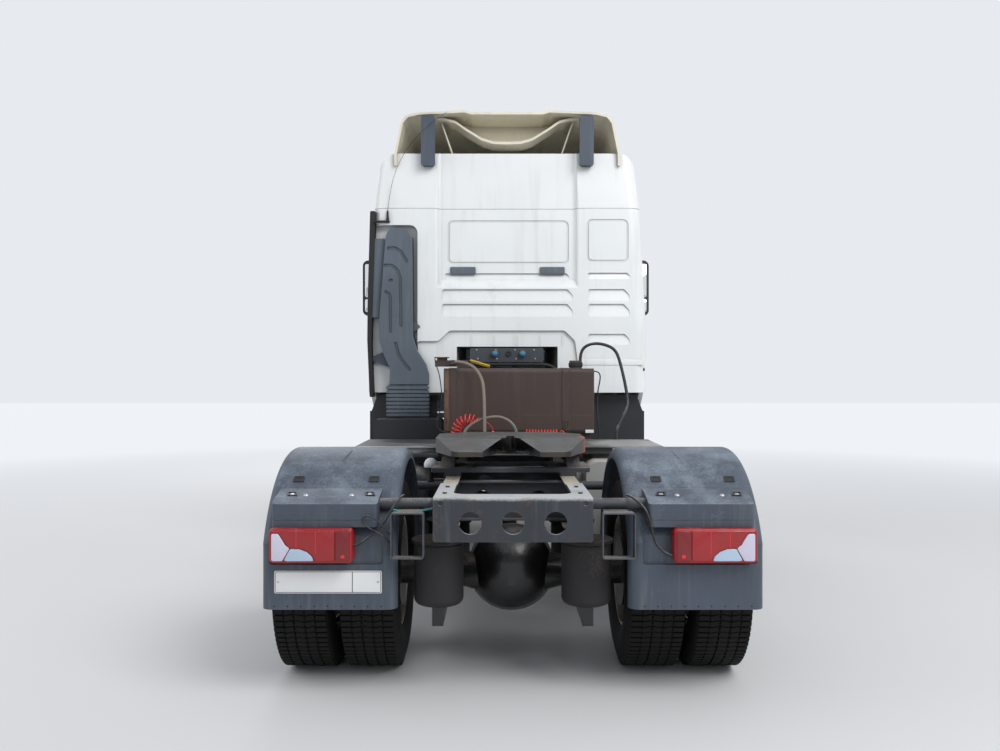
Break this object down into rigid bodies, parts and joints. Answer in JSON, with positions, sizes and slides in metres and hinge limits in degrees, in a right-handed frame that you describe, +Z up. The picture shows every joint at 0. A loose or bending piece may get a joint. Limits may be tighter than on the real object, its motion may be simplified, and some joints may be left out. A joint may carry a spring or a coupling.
{
  "type": "cab-over tractor unit",
  "caption": "Cab-over road tractor with a high-roof sleeper cab, fifth wheel coupling, twin rear wheels under mudguards and an open frame end.",
  "frame": {"origin": "on the ground, at the centre of the vehicle's length and width", "axes": "+Z up, -Y towards the front of the vehicle, +X towards its left side"},
  "size_m": [3.1, 5.775, 3.88],
  "materials": {
    "aluminium": "dull sheet",
    "cab_paint": "white paint, slightly dirty",
    "cabin_plastic": "grey interior trim",
    "cast_dark": "greasy dark casting",
    "coil_red": "red air coil",
    "dark_plastic": "dusty dark grey moulded plastic",
    "frame_paint": "dusty dark blue-grey paint",
    "glass": "tinted glass",
    "hose": "black hose",
    "lamp_clear": "clear lens",
    "lamp_red": "red lens",
    "rim": "grey painted steel, dusty",
    "roof_moulding": "white glass-fibre moulding",
    "rusty_tank": "brown rusty paint",
    "seat_fabric": "dark grey cloth",
    "spoiler_cream": "aged white moulding",
    "spring_rubber": "dusty rubber",
    "tyre": "black rubber, dusty sides"
  },
  "bodies": {
    "chassis": {"frame_rails": "frame_paint", "crossmembers": "frame_paint", "end_crossmember": "frame_paint", "fifth_wheel_base": "frame_paint", "rear_axle": "cast_dark", "air_springs": "spring_rubber", "propshaft": "cast_dark", "engine": "cast_dark", "front_axle": "cast_dark", "leaf_springs": "cast_dark", "front_bumper": "dark_plastic", "headlamps": "lamp_clear", "entry_steps": "dark_plastic", "front_mudguards": "dark_plastic", "side_fuel_tank": "aluminium", "battery_box": "dark_plastic", "air_tanks": "frame_paint", "rear_tank": "rusty_tank", "tank_cradle": "frame_paint", "deck_plate": "aluminium", "mudguard_arches": "dark_plastic", "rear_mudguards": "dark_plastic", "mudguard_brackets": "frame_paint", "tail_lamps": "lamp_red", "cab_mounts": "frame_paint", "coupling_panel": "frame_paint", "air_filter_box": "dark_plastic", "tank_hose": "hose", "service_hoses": "hose", "air_coils": "coil_red"},
    "cab": {"cab_front_frame": "cab_paint", "cab_sides": "cab_paint", "cab_rear_wall": "cab_paint", "cab_floor": "cabin_plastic", "high_roof": "roof_moulding", "roof_spoiler": "spoiler_cream", "spoiler_stays": "dark_plastic", "windscreen": "glass", "mirrors": "dark_plastic", "dashboard": "cabin_plastic", "seats": "seat_fabric", "bunk": "seat_fabric", "intake_snorkel": "dark_plastic"},
    "door_left": {"door_left": "cab_paint", "window_left": "glass"},
    "door_right": {"door_right": "cab_paint", "window_right": "glass"},
    "front_flap": {"front_flap": "roof_moulding"},
    "fifth_wheel": {"fifth_wheel": "cast_dark"},
    "knuckle_left": {"knuckle_left": "cast_dark"},
    "knuckle_right": {"knuckle_right": "cast_dark"},
    "track_rod": {"track_rod": "cast_dark"},
    "wheel_front_left": {"rim_front_left": "rim", "tyre_front_left": "tyre"},
    "wheel_front_right": {"rim_front_right": "rim", "tyre_front_right": "tyre"},
    "wheel_rear_left": {"rim_rear_left": "rim", "tyre_rear_left": "tyre"},
    "wheel_rear_right": {"rim_rear_right": "rim", "tyre_rear_right": "tyre"}
  },
  "joints": [
    {"name": "cab_tilt", "type": "hinge", "parent": "chassis", "child": "cab", "pos_m": [0, -2.7355, 1.13], "axis": [1, 0, 0], "range_deg": [0, 60]},
    {"name": "door_left_swing", "type": "hinge", "parent": "cab", "child": "door_left", "pos_m": [1.211, -2.4475, 2], "axis": [0, 0, -1], "range_deg": [0, 80]},
    {"name": "door_right_swing", "type": "hinge", "parent": "cab", "child": "door_right", "pos_m": [-1.211, -2.4475, 2], "axis": [0, 0, 1], "range_deg": [0, 80]},
    {"name": "front_flap_lift", "type": "hinge", "parent": "cab", "child": "front_flap", "pos_m": [0, -2.8005, 1.97], "axis": [-1, 0, 0], "range_deg": [0, 85]},
    {"name": "fifth_wheel_pitch", "type": "hinge", "parent": "chassis", "child": "fifth_wheel", "pos_m": [0, 1.6375, 1.095], "axis": [1, 0, 0], "range_deg": [-12, 12]},
    {"name": "steer_left", "type": "hinge", "parent": "chassis", "child": "knuckle_left", "pos_m": [0.93, -1.4125, 0.507], "axis": [0, 0, 1], "range_deg": [-38, 38]},
    {"name": "steer_right", "type": "hinge", "parent": "chassis", "child": "knuckle_right", "pos_m": [-0.93, -1.4125, 0.507], "axis": [0, 0, 1], "range_deg": [-38, 38]},
    {"name": "track_rod_swing", "type": "hinge", "parent": "knuckle_left", "child": "track_rod", "pos_m": [0.93, -1.2375, 0.368], "axis": [0, 0, 1], "range_deg": [-38, 38]},
    {"name": "front_left_spin", "type": "hinge", "parent": "knuckle_left", "child": "wheel_front_left", "pos_m": [1.035, -1.4125, 0.507], "axis": [1, 0, 0], "continuous": true},
    {"name": "front_right_spin", "type": "hinge", "parent": "knuckle_right", "child": "wheel_front_right", "pos_m": [-1.035, -1.4125, 0.507], "axis": [1, 0, 0], "continuous": true},
    {"name": "rear_left_spin", "type": "hinge", "parent": "chassis", "child": "wheel_rear_left", "pos_m": [0.9, 2.1875, 0.507], "axis": [1, 0, 0], "continuous": true},
    {"name": "rear_right_spin", "type": "hinge", "parent": "chassis", "child": "wheel_rear_right", "pos_m": [-0.9, 2.1875, 0.507], "axis": [1, 0, 0], "continuous": true}
  ],
  "couplings": [
    {"joint": "steer_right", "follows": "steer_left", "ratio": 1},
    {"joint": "track_rod_swing", "follows": "steer_left", "ratio": -1}
  ]
}
